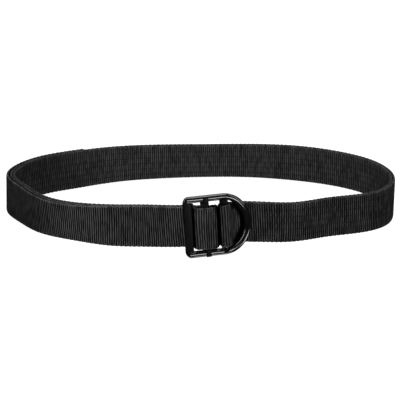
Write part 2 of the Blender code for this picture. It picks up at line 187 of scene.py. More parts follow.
def strap_in_buckle(path, drop=0, tilt=0):
    """Lower edge and up vector of webbing that runs through the buckle on rows of (u, w).

    The edge's v is slope * u - drops - half width. A tilt swings the webbing about its middle, by this
    much of u for each v, and it comes on as u falls."""
    u, w = np.array(path).T
    half, tilt = WEBBING_WIDTH / 2, np.interp(-u, TILT_RISE, [0, tilt])
    edge = from_buckle(u - tilt * half, STRAP_SLOPE * u - STRAP_DROP - drop - half, w)
    return np.hstack([edge, unit(v_axis + tilt[:, None] * u_axis)])


# %% The loop's line
where = (LOOP_SECTIONS[:, :2] - LOOP_BOX_CENTRE) * MM
heading = unit(np.roll(where, -1, axis=0) - np.roll(where, 1, axis=0))
lean = np.radians(LOOP_SECTIONS[:, 2:3])
inward = np.column_stack([-heading[:, 1], heading[:, 0], np.zeros(len(where))])
sections = np.hstack([where, LOOP_SECTIONS[:, 3:] * MM, inward * np.sin(lean) + np.cos(lean) * [[0, 0, 1]]])
right_end = strap_in_buckle([(STRAIGHT_RIGHT, D_END_DEPTH - HALF_PITCH)])
left_end = strap_in_buckle([(-STRAIGHT_LEFT, BODY_DEPTH), (-STRAIGHT_LEFT / 2, BODY_DEPTH)])
loop_points = np.vstack([right_end, sections, left_end, right_end])
loop_knots = np.append(0, np.cumsum(np.linalg.norm(np.diff(loop_points[:, :3], axis=0), axis=1)))
loop_slopes = spline_slopes(loop_knots, loop_points, closed=True)
loop_end = loop_knots[-3]
print(f"belt body, from the D end round to the left bar: {loop_end:.3f} m")


def beside_loop(start, end, offset):
    """A ply on the loop: line + out * offset and the up vector, where out is direction x up.

    The offset is a distance outside the line, or a function of the distance along it."""
    along = np.linspace(start, end, max(2, round(abs(end - start) / LOOP_STEP)))
    value, slope = spline_at(loop_knots, loop_points, loop_slopes, along)
    up = unit(value[:, 3:])
    out = unit(np.cross(slope[:, :3], up))
    if callable(offset):
        offset = offset(along)[:, None]
    return np.hstack([value[:, :3] + out * offset, up])


# %% [markdown]
# ## The way through the buckle
# At the D end the webbing folds round a fixed crossbar. On the left it goes under the flat bar, up over
# the slide bar, and back out under the flat bar as the tail. Seen from above the bars, that is a line of
# arcs, one for each bar, so the two ways are lists of arcs and of a few points between them.


# %% Fold and threading
def arc(centre_u, centre_w, radius, start, end, steps):
    """Rows of centre + radius * (cos, sin) from one angle to the other, in degrees."""
    angle = np.radians(np.linspace(start, end, steps))
    return np.column_stack([centre_u + radius * np.cos(angle), centre_w + radius * np.sin(angle)])


def ways(*rows):
    """Arcs and single rows in mm put into one list."""
    return np.vstack([row if isinstance(row, np.ndarray) else np.array([row]) * MM for row in rows])


def fold_way():
    """In from the right behind the crossbar, round it, and out behind the D end."""
    inner, outer = (D_END_DEPTH - PLY_PITCH) / MM, D_END_DEPTH / MM
    radius = CROSSBAR_DIAMETER / 2 + FIT_GAP + HALF_PLY
    return ways(
        (26, inner), (21, inner), (16.5, -6.8), (12, -5.6),
        arc(CROSSBAR_U, 0, radius, -92, -315, 11),
        (12.6, 0.4), (14.9, -2.3), (17.3, -3.9), (20.5, outer), (26, outer),
    )  # fmt: skip


def threading_way():
    """Under the left bar and the slide bar, up, over the slide bar, and back out under the left bar."""
    outer, under = (TAIL_DEPTH - PLY_PITCH) / MM, -(SLIDE_THICKNESS / 2 + UNDER_SLIDE)
    turn_w = HUMP_FRONT - HUMP_TURN - TAIL_DEPTH
    return ways(
        (-26, outer), (-21.5, outer), (-17.5, -5.4), (-13, -3.9), (-8, under / MM), (-4, -3.6),
        arc(CREVICE_U, CREVICE_W, CREVICE_TURN, -80, 35, 6),
        arc(HUMP_RIGHT, HUMP_FRONT - HUMP_TURN, HUMP_TURN, 15, 90, 5),
        ((HUMP_LEFT + HUMP_RIGHT) / 2 / MM, HUMP_FRONT / MM),
        arc(HUMP_LEFT, HUMP_FRONT - HUMP_TURN, HUMP_TURN, 90, 180, 6),
        arc(HUMP_LEFT - HUMP_TURN - turn_w, TAIL_DEPTH + turn_w, turn_w, -15, -90, 5),
        (-26, TAIL_DEPTH / MM),
    )  # fmt: skip


# %% The two webbings' lines
class Strip:
    """A ply's line: lower edge and up vector as one open spline over the length of its lower edge."""

    def __init__(self, *runs):
        """Put runs of lower edge and up vector end to end; each knot is the length up to its point."""
        self.points = np.vstack(runs)
        self.knots = np.append(0, np.cumsum(np.linalg.norm(np.diff(self.points[:, :3], axis=0), axis=1)))
        self.slopes = spline_slopes(self.knots, self.points)
        self.length = self.knots[-1]

    def at(self, along, across, high):
        """World places: edge(along) + out(along) * across + up(along) * high, with out = direction x up."""
        value, slope = spline_at(self.knots, self.points, self.slopes, along)
        up = unit(value[..., 3:])
        out = unit(np.cross(slope[..., :3], up))
        return value[..., :3] + out * across[..., None] + up * high[..., None]


def tail_offset(along):
    """The tail's distance outside the loop's line: half pitch + thickness + its gap to the body."""
    return HALF_PITCH + WEBBING_THICKNESS + np.interp(loop_end - along, *TAIL_GAPS.T)


outer_strip = Strip(
    beside_loop(TURNED_BACK_LENGTH, 0, -HALF_PITCH),
    strap_in_buckle(fold_way(), -FOLD_RISE),
    beside_loop(0, loop_end, HALF_PITCH),
    strap_in_buckle(threading_way(), THREADING_DROP, THREADING_TILT),
    beside_loop(loop_end, loop_end - TAIL_LENGTH, tail_offset),
)
inner_depth = BODY_DEPTH - HALF_PITCH
inner_strip = Strip(
    beside_loop(TURNED_BACK_LENGTH + PLY_GAP, loop_end, -HALF_PITCH),
    strap_in_buckle([(-26 * MM, inner_depth), (-20 * MM, inner_depth)]),
)
print(f"outer webbing {outer_strip.length:.3f} m, inner webbing {inner_strip.length:.3f} m")

# %% [markdown]
# ## Ribbed webbing
# Belt webbing is woven so tightly that each crosswise yarn makes a rib about 2.1 mm wide, and at the edges
# two ribs share one loop of yarn. Ribs can be painted on with a bump map, but then the edges stay straight
# and no rib shades its neighbour. So the ribs are real: a section is carried along the line in six steps a
# rib, and it swells and shrinks once on the way. A little noise lets the ribs wander, as real ones do.


# %% Noise and grids
NOISE_ROWS, NOISE_COLUMNS = 1024, 64


def soft_noise(x, y, seed):
    """Random numbers from -1 to 1 on a grid's whole-numbered points, blended between with 3t^2 - 2t^3."""
    grid = np.random.default_rng(seed).random((NOISE_ROWS, NOISE_COLUMNS)) * 2 - 1
    i, j = np.floor(x).astype(int), np.floor(y).astype(int)
    s, t = x - i, y - j
    s, t = s * s * (3 - 2 * s), t * t * (3 - 2 * t)
    i, next_i, j, next_j = i % NOISE_ROWS, (i + 1) % NOISE_ROWS, j % NOISE_COLUMNS, (j + 1) % NOISE_COLUMNS
    near = grid[i, j] * (1 - s) + grid[next_i, j] * s
    far = grid[i, next_j] * (1 - s) + grid[next_i, next_j] * s
    return near * (1 - t) + far * t


def tube_faces(rings, sides):
    """Quads between neighbouring rings of a closed section, and last one flat face over each open end."""
    a = np.arange(rings - 1)[:, None] * sides + np.arange(sides)
    b = np.arange(rings - 1)[:, None] * sides + (np.arange(sides) + 1) % sides
    quads = np.stack([a, b, b + sides, a + sides], axis=-1).reshape(-1, 4).tolist()
    return quads + [list(range(sides))[::-1], list(range((rings - 1) * sides, rings * sides))]


def add_piece(name, places, faces, material, uv=None, marks=None, flat_from=None):
    """Put points and faces into a mesh object; uv and the named marks have one row for each point."""
    mesh = bpy.data.meshes.new(name)
    mesh.from_pydata(places.reshape(-1, 3).tolist(), [], faces)
    mesh.shade_smooth()
    if flat_from is not None:
        mesh.polygons.foreach_set("use_smooth", np.arange(len(faces)) < flat_from)
    if uv is not None:
        corner = np.zeros(len(mesh.loops), dtype=np.int32)
        mesh.loops.foreach_get("vertex_index", corner)
        flat_uv = uv.reshape(-1, 2)[corner].ravel().astype(np.float32)
        mesh.uv_layers.new(name="cloth").data.foreach_set("uv", flat_uv)
    for mark, values in (marks or {}).items():
        numbers = mesh.attributes.new(mark, "FLOAT", "POINT").data
        numbers.foreach_set("value", values.ravel().astype(np.float32))
    mesh.materials.append(material)
    made = bpy.data.objects.new(name, mesh)
    bpy.context.scene.collection.objects.link(made)
    made.data.update()
    print(f"{name}: {len(mesh.vertices)} points, {sum(len(f) - 2 for f in faces)} triangles")
    return made


# %% The webbing's surface
RIB_PITCH, RIB_STEPS = 2.1 * MM, 6
RIB_DEPTH, RIB_UNEVEN = 0.6 * MM, 0.45  # the depth, and by what share of it ribs may differ
SELVAGE_RADIUS, SELVAGE_PROUD, SELVAGE_DRAW_IN = 1.1 * MM, 0.75 * MM, 0.4 * MM
FACE_COLUMNS = 8
NOISE_CELLS = 6  # over the webbing's width
SHORT_WANDER, LONG_WANDER = 0.30 * MM, 0.9 * MM  # how far a rib wanders along the webbing
FADE_RIBS = 4  # the wandering fades out over these many ribs at each end
BUCKLE_SPREAD = 0.7 * MM  # webbing pulled hard round a bar lies flatter, so each of its edges moves out
# Near 1, so both selvages carry the crests' painted highlight along the edges.
SELVAGE_HIGHLIGHT_CREST, SELVAGE_HIGHLIGHT_SIDE = 0.98, 0.99  # a selvage's rib mark, on its crest and beside it
MIDDLE_TONE = 0.5
# The first two flatten the ribs' painted contrast and darken the rubbed crests, and paint shade on the
# fold's slope to the D end; the third is painted shade where the buckle hides the webbing.
CREST_AND_SLOPE_FLATTER, RUBBED_AND_SLOPE_SHADE_DARKER, BUCKLE_SHADE_DARKER = 0.65, 0.16, 0.9
NEAR_FROM, NEAR_FULL = -14 * MM, -11 * MM  # in w: what lies further back is the far side of the loop


def step(low, high, x):
    """0 up to low, 1 from high on, and 3t^2 - 2t^3 between them."""
    t = np.clip((x - low) / (high - low), 0, 1)
    return t * t * (3 - 2 * t)


def between(x, rise_from, rise_to, fall_from, fall_to):
    """step up over the rise, times step down over the fall."""
    return step(rise_from, rise_to, x) * step(-fall_to, -fall_from, -x)


# %% Painted shade, painted light and wear
def to_buckle(places):
    """The buckle's u, v and w of world places: (place - middle) . axis for each. The fourth value is 1
    near the buckle, and 0 from 14 mm behind it."""
    rest = places - buckle_place
    w = rest @ w_axis
    return rest @ u_axis, rest @ v_axis, w, step(NEAR_FROM, NEAR_FULL, w)


def painted_buckle_shade(places):
    """Painted shade: 1 where the buckle's bars and ring shade the webbing, fading to 0 beside it.

    In the gap between the fold and the hump that is below a line, w = 3.4 mm + 1.8 * (u + 3 mm) / 8.
    Behind the D end it is a band round the ring, where u and v over the ring's own reach and height give
    0.7 to 1.1. Beside the flat bar it is the narrow slope where the webbing dives under the bar."""
    u, v, w, near = to_buckle(places)
    line = (3.4 + 1.8 * (u / MM + 3) / 8) * MM
    gap = step(0, 1.8 * MM, line - w) * between(u, -6 * MM, -3 * MM, 5 * MM, 8 * MM)
    ring = np.hypot(np.maximum(u - D_END_U, 0) / D_END_HALF, v / RAIL_V)
    behind = between(ring, 0.68, 0.80, 1.05, 1.12) * step(D_END_U, D_END_U + 6 * MM, u) * (w < 1 * MM)
    beside = between(-u, 20.6 * MM, 21.8 * MM, 24 * MM, 26 * MM)
    return near * np.maximum(np.maximum(gap, behind), beside)


def rubbed_crests_and_slope_shade(places):
    """1 on the crests of the fold and the hump, which stand out in front of the bars and wear first.

    The fold's slope down to the D end is pulled flat too, and its darkening there is painted shade, as the
    slope turns away from the light. Steps in w and in u bound both."""
    u, _, w, near = to_buckle(places)
    return near * np.maximum(step(3.0 * MM, 4.6 * MM, w), between(u, 6 * MM, 9 * MM, 20 * MM, 23 * MM))


def painted_light_along_loop(places):
    """Painted light and shade: how much lighter or darker the webbing is made, from one end of the loop to
    the other.

    Both the front and the back of the loop have listed rows of x in mm, with the change at each."""
    x, y = places[..., 0] / MM, places[..., 1]
    # Painted light on the front's left and painted shade at the bends of both ends.
    front_rows = [(-152, -0.27), (-136, 0.12), (-110, 0.27), (-60, 0.03), (0, 0), (70, -0.1), (190, -0.13)]
    back_rows = [(-140, -0.3), (-95, 0.06), (0, 0.08), (95, 0), (190, -0.15)]
    front, back = np.interp(x, *zip(*front_rows)), np.interp(x, *zip(*back_rows))
    return front + (back - front) * step(-10 * MM, 10 * MM, y)


# %% One section across the webbing
# It runs up the outer face, over the top selvage, down the inner face and round the lower selvage. Each
# point has a height on the face, and a share that it stands out of a face and out of a selvage.
selvage_turn = np.radians([45, 0, -45])
bend, tilt = np.cos(selvage_turn), np.sin(selvage_turn)
levels = np.linspace(SELVAGE_RADIUS, WEBBING_WIDTH - SELVAGE_RADIUS, FACE_COLUMNS)
one, none = np.ones(FACE_COLUMNS), np.zeros(FACE_COLUMNS)
section_high = np.concatenate([levels, np.full(3, levels[-1]), levels[::-1], np.full(3, levels[0])])
section_face = np.concatenate([one, tilt, -one, -tilt])
section_selvage = np.concatenate([none, bend, none, -bend])
print(f"a section has {len(section_high)} points")


# %% A ribbed strip
def rib_mark(places, swell):
    """(swell, or nearly 1 on a selvage, for the edges' painted highlight) ^ (1 - 0.65 * the rubbed mark),
    because rubbing and pulling flatten the ribs.
    """
    selvage = np.where(np.abs(section_selvage) == 1, SELVAGE_HIGHLIGHT_CREST, SELVAGE_HIGHLIGHT_SIDE)
    return np.where(section_selvage != 0, selvage, swell) ** (1 - CREST_AND_SLOPE_FLATTER * rubbed_crests_and_slope_shade(places))


def tone_and_painted_light_mark(places, patchy):
    """0.5 + painted light and wear + (0.5 + painted light and wear, if that darkens) * noise, and -0.9 in
    the painted shade where the buckle hides the webbing.
    """
    # Painted light and shade along the loop, less the rubbed crests' darkening and the fold slope's painted
    # shade.
    painted_light_and_wear = painted_light_along_loop(places) - RUBBED_AND_SLOPE_SHADE_DARKER * rubbed_crests_and_slope_shade(places)
    tone_and_painted_light = MIDDLE_TONE + painted_light_and_wear + (MIDDLE_TONE + np.minimum(painted_light_and_wear, 0)) * patchy
    # Painted shade where the buckle hides the webbing.
    return tone_and_painted_light * (1 - painted_buckle_shade(places)) - BUCKLE_SHADE_DARKER * painted_buckle_shade(places)


def webbing(name, strip, material, seed, stitched_at):
    """A closed ribbed strip.

    Along it, f runs from 0 to 1 over each rib, and its swell is sqrt(1 - (2f - 1)^2), a half circle. Across
    it, a face stands at half thickness - depth * (1 - swell), and a selvage draws in by
    0.4 mm * (1 - |sin(pi * ribs / 2)|). No point goes below the floor."""
    ribs = round(strip.length / RIB_PITCH)
    count = np.arange(ribs * RIB_STEPS + 1)[:, None] / RIB_STEPS
    rows = section_high / WEBBING_WIDTH * NOISE_CELLS
    swell = np.sqrt(1 - (2 * (count % 1) - 1) ** 2)
    depth = RIB_DEPTH * (1 + RIB_UNEVEN * soft_noise(np.floor(count), rows + 31, seed))
    across = section_face * (HALF_PLY - depth * (1 - swell))
    draw_in = SELVAGE_DRAW_IN * (1 - np.abs(np.sin(math.pi * count / 2)))
    high = section_high + section_selvage * (SELVAGE_RADIUS + SELVAGE_PROUD - draw_in)
    centre = count[:, 0] / ribs * strip.length
    u, _, _, near = to_buckle(strip.at(centre, 0 * centre, 0 * centre + WEBBING_WIDTH / 2))
    spread = near * between(u, -24 * MM, -21 * MM, 13 * MM, 17 * MM)
    high = high + BUCKLE_SPREAD * spread[:, None] * (2 * section_high / WEBBING_WIDTH - 1)
    fade = np.clip(np.minimum(count, ribs - count) / FADE_RIBS, 0, 1)
    wander = SHORT_WANDER * soft_noise(count * 0.23, rows * 0.6, seed + 1)
    wander = wander + LONG_WANDER * soft_noise(count * 0.031, rows * 0.25, seed + 2)
    along = count / ribs * strip.length + wander * fade
    places = strip.at(along, across, high)
    places[..., 2] = np.maximum(places[..., 2], 0)
    patchy = soft_noise(np.floor(count), rows * 1.5 + 17, seed + 3)
    rib, tone_and_painted_light = rib_mark(places, swell), tone_and_painted_light_mark(places, patchy)
    marks = {"rib": rib, "tone_and_painted_light": tone_and_painted_light, "stitched": stitched_at(along)}
    uv = np.stack(np.broadcast_arrays(count * RIB_PITCH, high), axis=-1)
    faces = tube_faces(len(count), len(section_high))
    return add_piece(name, places, faces, material, uv, marks, flat_from=len(faces) - 2)


# %% [markdown]
# ## Materials
# A material starts from what the real thing is made of. The colours are written as a designer would give
# them, as sRGB hex values, and one function turns them into the linear numbers that Blender works with.
# One more function adds a node, sets it and links it, so each material below reads as a short recipe.


# %% Material helpers
def linear(hex_colour):
    """sRGB hex to linear RGBA: c / 12.92 up to 0.04045, else ((c + 0.055) / 1.055) ^ 2.4."""
    c = np.array([int(hex_colour[i : i + 2], 16) for i in (1, 3, 5)]) / 255
    return (*np.where(c <= 0.04045, c / 12.92, ((c + 0.055) / 1.055) ** 2.4), 1.0)


def new_material(name):
    """A material with its Principled BSDF, ready for settings."""
    material = bpy.data.materials.new(name)
    material.use_nodes = True
    return material, material.node_tree, material.node_tree.nodes["Principled BSDF"]


def fill(tree, node, sockets):
    """Set a node's input sockets by name or number, each to a value or to another node's output."""
    for key, value in sockets.items():
        if isinstance(value, bpy.types.NodeSocket):
            tree.links.new(value, node.inputs[key])
        else:
            node.inputs[key].default_value = value


def add_node(tree, kind, *values, output=0, named=None, **settings):
    """Add a node, set its properties, fill its sockets in order and then by name, and return one output."""
    node = tree.nodes.new("ShaderNode" + kind)
    for key, value in settings.items():
        setattr(node, key, value)
    fill(tree, node, {**dict(enumerate(values)), **(named or {})})
    return node.outputs[output]


# %% [markdown]
# ### Nylon webbing
# It is woven from thick, dull-lustre nylon yarn, dyed black. The eye sees soft grey crests, nearly black
# gaps, and gaps of uneven depth. The mesh carries the ribs, and a number on each point, 0 in a gap and 1 on
# a crest, lets the colour follow them: it paints a highlight on each crest and shade in each gap. The
# yarns' own fine strands run along the belt over each rib and pass under the next, so every rib is a row of
# small beads, and each bead gets a painted highlight. They are 0.5 mm apart on the real webbing, and are
# drawn
# 1.2 mm apart here so that they show at all. Shallow grooves run where the stitch rows pull the body's two
# plies together, and their shade is painted in.


# %% Black nylon webbing
STRAND_PITCH, STRAND_RELIEF, BEAD_CONTRAST = 1.2 * MM, 0.12 * MM, 0.25
ROW_PITCH, GROOVE_SHARPNESS, GROOVE_SHADE_DARKER = 6.35 * MM, 6.0, 0.25
TONE_BASE, TONE_SHARE, BLOTCH_SHARE = 0.05, 1.1, 0.5
FUZZ_SCALE, BLOTCH_SCALE = 900.0, 45.0  # cells to a metre: the fuzz is 1.1 mm across, a blotch 22 mm
GAP_ROUGHNESS, CREST_SMOOTHER = 0.72, 0.15


def nylon_webbing(name, shaded_gap_colour, lit_crest_colour, sharpness):
    """Painted highlight on the crests and painted shade in the gaps: gap colour + factor * (crest colour -
    gap colour), where the factor is rib ^ sharpness * (0.05 + 1.1 * tone mark + 0.5 blotch) * (1 + 0.25
    bead)
    * (1 - 0.25 groove); the tone mark carries painted light and shade as well. A bead, a painted highlight,
    is sin(pi * height / strand pitch + pi * rib number), so beads swap places from rib to rib, and a
    groove's painted shade is a raised cosine ^ 6."""
    material, tree, shader = new_material(name)
    cloth = add_node(tree, "UVMap", uv_map="cloth")
    along, high = (add_node(tree, "SeparateXYZ", cloth, output=axis) for axis in (0, 1))
    rib, tone_and_painted_light, stitched = (
        add_node(tree, "Attribute", output="Fac", attribute_name=mark)
        for mark in ("rib", "tone_and_painted_light", "stitched")
    )
    fuzz, blotch = (
        add_node(tree, "TexNoise", named={"Vector": cloth, "Scale": scale}, noise_dimensions="2D")
        for scale in (FUZZ_SCALE, BLOTCH_SCALE)
    )
    uneven_with_painted_light = add_node(tree, "Math", tone_and_painted_light, TONE_SHARE, TONE_BASE, operation="MULTIPLY_ADD")
    uneven_with_painted_light = add_node(tree, "Math", blotch, BLOTCH_SHARE, uneven_with_painted_light, operation="MULTIPLY_ADD")
    # Painted highlight on the crests and painted shade in the gaps, following the rib mark.
    crest_highlight = add_node(tree, "Math", rib, sharpness, operation="POWER")
    crest_highlight = add_node(tree, "Math", crest_highlight, uneven_with_painted_light, operation="MULTIPLY")
    rib_number = add_node(tree, "Math", along, 1 / RIB_PITCH, operation="MULTIPLY")
    rib_number = add_node(tree, "Math", rib_number, operation="FLOOR")
    phase = add_node(tree, "Math", high, math.pi / STRAND_PITCH, operation="MULTIPLY")
    phase = add_node(tree, "Math", rib_number, math.pi, phase, operation="MULTIPLY_ADD")
    # Painted highlight on each bead's top.
    bead = add_node(tree, "Math", phase, operation="SINE")
    bead = add_node(tree, "Math", bead, BEAD_CONTRAST, 1.0, operation="MULTIPLY_ADD")
    crest_highlight = add_node(tree, "Math", crest_highlight, bead, operation="MULTIPLY")
    row = add_node(tree, "Math", high, 2 * math.pi / ROW_PITCH, operation="MULTIPLY")
    row = add_node(tree, "Math", row, operation="COSINE")
    row = add_node(tree, "Math", row, 0.5, 0.5, operation="MULTIPLY_ADD")
    row = add_node(tree, "Math", row, GROOVE_SHARPNESS, operation="POWER")
    # Painted shade where the stitch rows groove the webbing.
    groove_shade = add_node(tree, "Math", row, stitched, operation="MULTIPLY")
    kept = add_node(tree, "Math", groove_shade, -GROOVE_SHADE_DARKER, 1.0, operation="MULTIPLY_ADD")
    factor = add_node(tree, "Math", crest_highlight, kept, operation="MULTIPLY", use_clamp=True)
    mixed = {0: factor, 6: linear(shaded_gap_colour), 7: linear(lit_crest_colour)}
    strand = add_node(tree, "Math", high, 2 * math.pi / STRAND_PITCH, operation="MULTIPLY")
    strand = add_node(tree, "Math", strand, operation="SINE")
    height = add_node(tree, "Math", strand, 0.5, fuzz, operation="MULTIPLY_ADD")
    relief = {"Strength": 0.5, "Distance": STRAND_RELIEF, "Height": height}
    rough = (-CREST_SMOOTHER, GAP_ROUGHNESS)
    sockets = {
        "Base Color": add_node(tree, "Mix", output=2, named=mixed, data_type="RGBA"),
        "Roughness": add_node(tree, "Math", factor, *rough, operation="MULTIPLY_ADD"),
        "Normal": add_node(tree, "Bump", named=relief),
        "Specular IOR Level": 0.03,
    }
    fill(tree, shader, sockets)
    return material


# Near-black gaps are painted shade, grey crests a painted highlight.
outer_nylon = nylon_webbing("black_ribbed_nylon_webbing", "#010101", "#505050", 14.0)
# The inner webbing's fainter rib colours paint the softer light on the loop's back.
inner_nylon = nylon_webbing("black_nylon_webbing_soft_painted_shade", "#111111", "#454545", 5.0)

# %% Make both webbings
# The body's outer ply is sewn to the inner one. The fold, the threading and the tail aren't.
SEWN_FROM, SEWN_TO = 0.135, outer_strip.length - TAIL_LENGTH - 0.085


def sewn_outer(along):
    """1 from SEWN_FROM to SEWN_TO along the outer webbing, and 0 elsewhere."""
    return ((along > SEWN_FROM) & (along < SEWN_TO)).astype(float)


outer_webbing = webbing("outer_webbing", outer_strip, outer_nylon, 11, sewn_outer)
inner_webbing = webbing("inner_webbing", inner_strip, inner_nylon, 23, np.ones_like)

# %% [markdown]
# ## Stitches
# Rows of black thread hold the body's two plies together. A stitch is a short bead of thread that dips into
# the webbing at both ends. There are many, so each has only a few dozen faces, and all the stitches of
# one face are one mesh, bent along the same line as the webbing.

# %% Stitch sizes
STITCH_PITCH = 4.2 * MM
STITCH_LENGTH = 3.3 * MM
THREAD_RADIUS = 0.28 * MM
STITCH_RINGS, STITCH_SIDES = 6, 6
STITCH_SINK = 0.12 * MM  # how deep the middle of the thread lies in the webbing's face
STITCH_ROWS = np.array([6.35, 12.7, 19.05, 25.4, 31.75]) * MM


def stitches(name, strip, start, end, facing, material):
    """Beads on a face: along = t * half length, with rings of radius r * sqrt(1 - t^4) sunk by 0.5 r t^2.

    Facing is 1 for the outer face and -1 for the inner one."""
    t = np.linspace(-1, 1, STITCH_RINGS)[:, None]
    around = np.linspace(0, 2 * math.pi, STITCH_SIDES, endpoint=False)
    radius = THREAD_RADIUS * np.sqrt(np.maximum(1 - t**4, 0.04))
    bead_across = radius * np.cos(around) - 0.5 * THREAD_RADIUS * t**2
    starts = np.arange(start, end, STITCH_PITCH)[:, None, None, None]
    along = starts + t * STITCH_LENGTH / 2
    across = facing * (HALF_PLY - STITCH_SINK + bead_across)
    high = STITCH_ROWS[:, None, None] + radius * np.sin(around)
    places = strip.at(*np.broadcast_arrays(along, across, high))
    bead = tube_faces(STITCH_RINGS, STITCH_SIDES)
    quads, ends = np.array(bead[:-2])[:, ::facing], np.array(bead[-2:])[:, ::facing]
    number = len(starts) * len(STITCH_ROWS)
    first = STITCH_RINGS * STITCH_SIDES * np.arange(number)[:, None, None]
    faces = (quads + first).reshape(-1, 4).tolist() + (ends + first).reshape(-1, STITCH_SIDES).tolist()
    print(f"{number} stitches")
    return add_piece(name, places, faces, material)


# %% Sewing thread
# Bonded nylon thread: round, hard and a little shinier than the webbing.
black_thread, tree, shader = new_material("black_bonded_thread")
where = add_node(tree, "TexCoord", output="Object")
twist = add_node(tree, "TexNoise", named={"Vector": where, "Scale": FUZZ_SCALE, "Detail": 1.0})
mixed = {0: twist, 6: linear("#0a0a0a"), 7: linear("#181818")}
shade = add_node(tree, "Mix", output=2, named=mixed, data_type="RGBA")
fill(tree, shader, {"Base Color": shade, "Roughness": 0.7, "Specular IOR Level": 0.05})

outer_span = (SEWN_FROM + 5 * MM, SEWN_TO - 10 * MM)
inner_span = (4 * MM, inner_strip.length - 4 * MM)
outer_stitches = stitches("outer_stitches", outer_strip, *outer_span, 1, black_thread)
inner_stitches = stitches("inner_stitches", inner_strip, *inner_span, -1, black_thread)

# %% [markdown]
# ## The buckle frame
# The frame is bent from one steel rod, with a flat bar welded across its left end and a round crossbar
# inside it. A rod is a circle carried along a line, so a grid of angle and distance makes it. The flat
# bar is an outline drawn inwards in small steps as it rises, which rounds its rim.


# %% Rods
ROD_SIDES, CROSSBAR_SIDES, CROSSBAR_RINGS = 40, 32, 60
FOOT_TOP = (19.2 * MM, 20.4 * MM)  # where the crossbar's upper foot swells, up from the middle
FOOT_BOTTOM = (20.2 * MM, 21.4 * MM)  # and its lower foot, down from the middle


def rod(path, radii, sides=ROD_SIDES):
    """Rings of the circle radius * (cos, sin) square to a path that lies in the plane of u and v."""
    path = np.array(path)
    heading = unit(np.gradient(path, axis=0))
    angle = np.linspace(0, 2 * math.pi, sides, endpoint=False)
    radii = np.broadcast_to(radii, len(path))[:, None]
    sideways, forward = radii * np.cos(angle), radii * np.sin(angle)
    u = path[:, :1] - heading[:, 1:] * sideways
    v = path[:, 1:] + heading[:, :1] * sideways
    return from_buckle(u, v, forward), tube_faces(len(path), sides)


def frame_path():
    """The rod's middle: top rail, half ellipse (reach * cos, rail v * sin) round the D end, bottom rail."""
    rail = np.linspace(-BUCKLE_LENGTH / 2 + LEFT_BAR_WIDTH / 2, D_END_U, 24, endpoint=False)
    top = np.column_stack([rail, np.full(len(rail), RAIL_V)])
    angle = np.linspace(math.pi / 2, -math.pi / 2, 97)
    bend = np.column_stack([D_END_U + D_END_HALF * np.cos(angle), RAIL_V * np.sin(angle)])
    return np.vstack([top, bend, top[::-1] * [1, -1]])


# %% Flat plates with rounded rims
def rounded(points, radius, steps=6):
    """The outline with an arc in place of each corner, whose centre lies radius / sin(half the corner's
    angle) from it, along the line that halves the corner; radius is one number or one for each."""
    points, radius = np.array(points), np.broadcast_to(radius, len(points))[:, None]
    back, ahead = unit(np.roll(points, 1, axis=0) - points), unit(np.roll(points, -1, axis=0) - points)
    half = np.arccos(np.clip(np.sum(back * ahead, axis=1, keepdims=True), -1, 1)) / 2
    centre = points + unit(back + ahead) * radius / np.sin(half)
    reach = radius / np.tan(half)
    start, end = points + back * reach - centre, points + ahead * reach - centre
    t = np.linspace(0, 1, steps + 1)[None, :, None]
    blend = unit(start[:, None] * (1 - t) + end[:, None] * t)
    return (centre[:, None] + blend * radius[:, None]).reshape(-1, 2)


def plate(outline, thickness, rim, steps=4):
    """Rings of an outline from its back to its front, drawn in by rim * (1 - cos) towards each face."""
    area = np.sum(outline[:, 0] * np.roll(outline[:, 1], -1) - outline[:, 1] * np.roll(outline[:, 0], -1))
    outline = outline if area > 0 else outline[::-1]
    rim = np.broadcast_to(rim, len(outline))
    ahead = unit(np.roll(outline, -1, axis=0) - outline)
    behind = unit(outline - np.roll(outline, 1, axis=0))
    along = unit(ahead + behind)
    out = np.column_stack([along[:, 1], -along[:, 0]])
    angle = np.linspace(-math.pi / 2, math.pi / 2, 2 * steps)
    inset = rim * (1 - np.cos(angle))[:, None]
    depth = np.sign(angle)[:, None] * (thickness / 2 - rim) + rim * np.sin(angle)[:, None]
    rings = outline[None] - out[None] * inset[..., None]
    return rings, depth, tube_faces(2 * steps, len(outline))


# %% The flat bar's shape
BAR_RIM, LEFT_RIM_MORE, RIM_CHANGE = 0.7, 1.2, 4 * MM  # the rim in mm, what its left has more, over 4 mm
half_height, left = BUCKLE_HEIGHT / 2, -BUCKLE_LENGTH / 2
bar_corners = [
    (left + LEFT_BAR_WIDTH, -half_height),
    (left + LEFT_BAR_WIDTH, half_height),
    (left, half_height),
    (left, -half_height),
]
corner_radii = [LEFT_BAR_INNER_CORNER, LEFT_BAR_INNER_CORNER, LEFT_BAR_CORNER, LEFT_BAR_CORNER]
bar_outline = rounded(bar_corners, corner_radii, 10)
leftness = np.clip((left + RIM_CHANGE - bar_outline[:, 0]) / RIM_CHANGE, 0, 1)
bar_rim = (BAR_RIM + LEFT_RIM_MORE * leftness) * MM
bar_rings, bar_depth, bar_faces = plate(bar_outline, LEFT_BAR_THICKNESS, bar_rim, 6)
bar_places = from_buckle(bar_rings[..., 0], bar_rings[..., 1], bar_depth)
print(f"the flat bar's outline has {len(bar_outline)} points")

# %% [markdown]
# ### Black coated steel
# The buckle is steel under a smooth, glossy black coat. The eye sees a very dark body with sharp bright
# lines where it mirrors a lamp. A coat is not metal on the outside, so its shine is that of a clear layer
# over a near-black base, with faint waves in it and patches that are a little duller. The flat bar and
# the slide bar mirror nothing sharp in the photo, so they get a duller, satin coat.


# %% Glossy black coat
WAVE_SCALE, PATCH_SCALE = 700.0, 90.0  # cells to a metre: a wave is 1.4 mm across, a patch 11 mm
WAVE_DEPTH, WAVE_STRENGTH = 0.08 * MM, 0.06


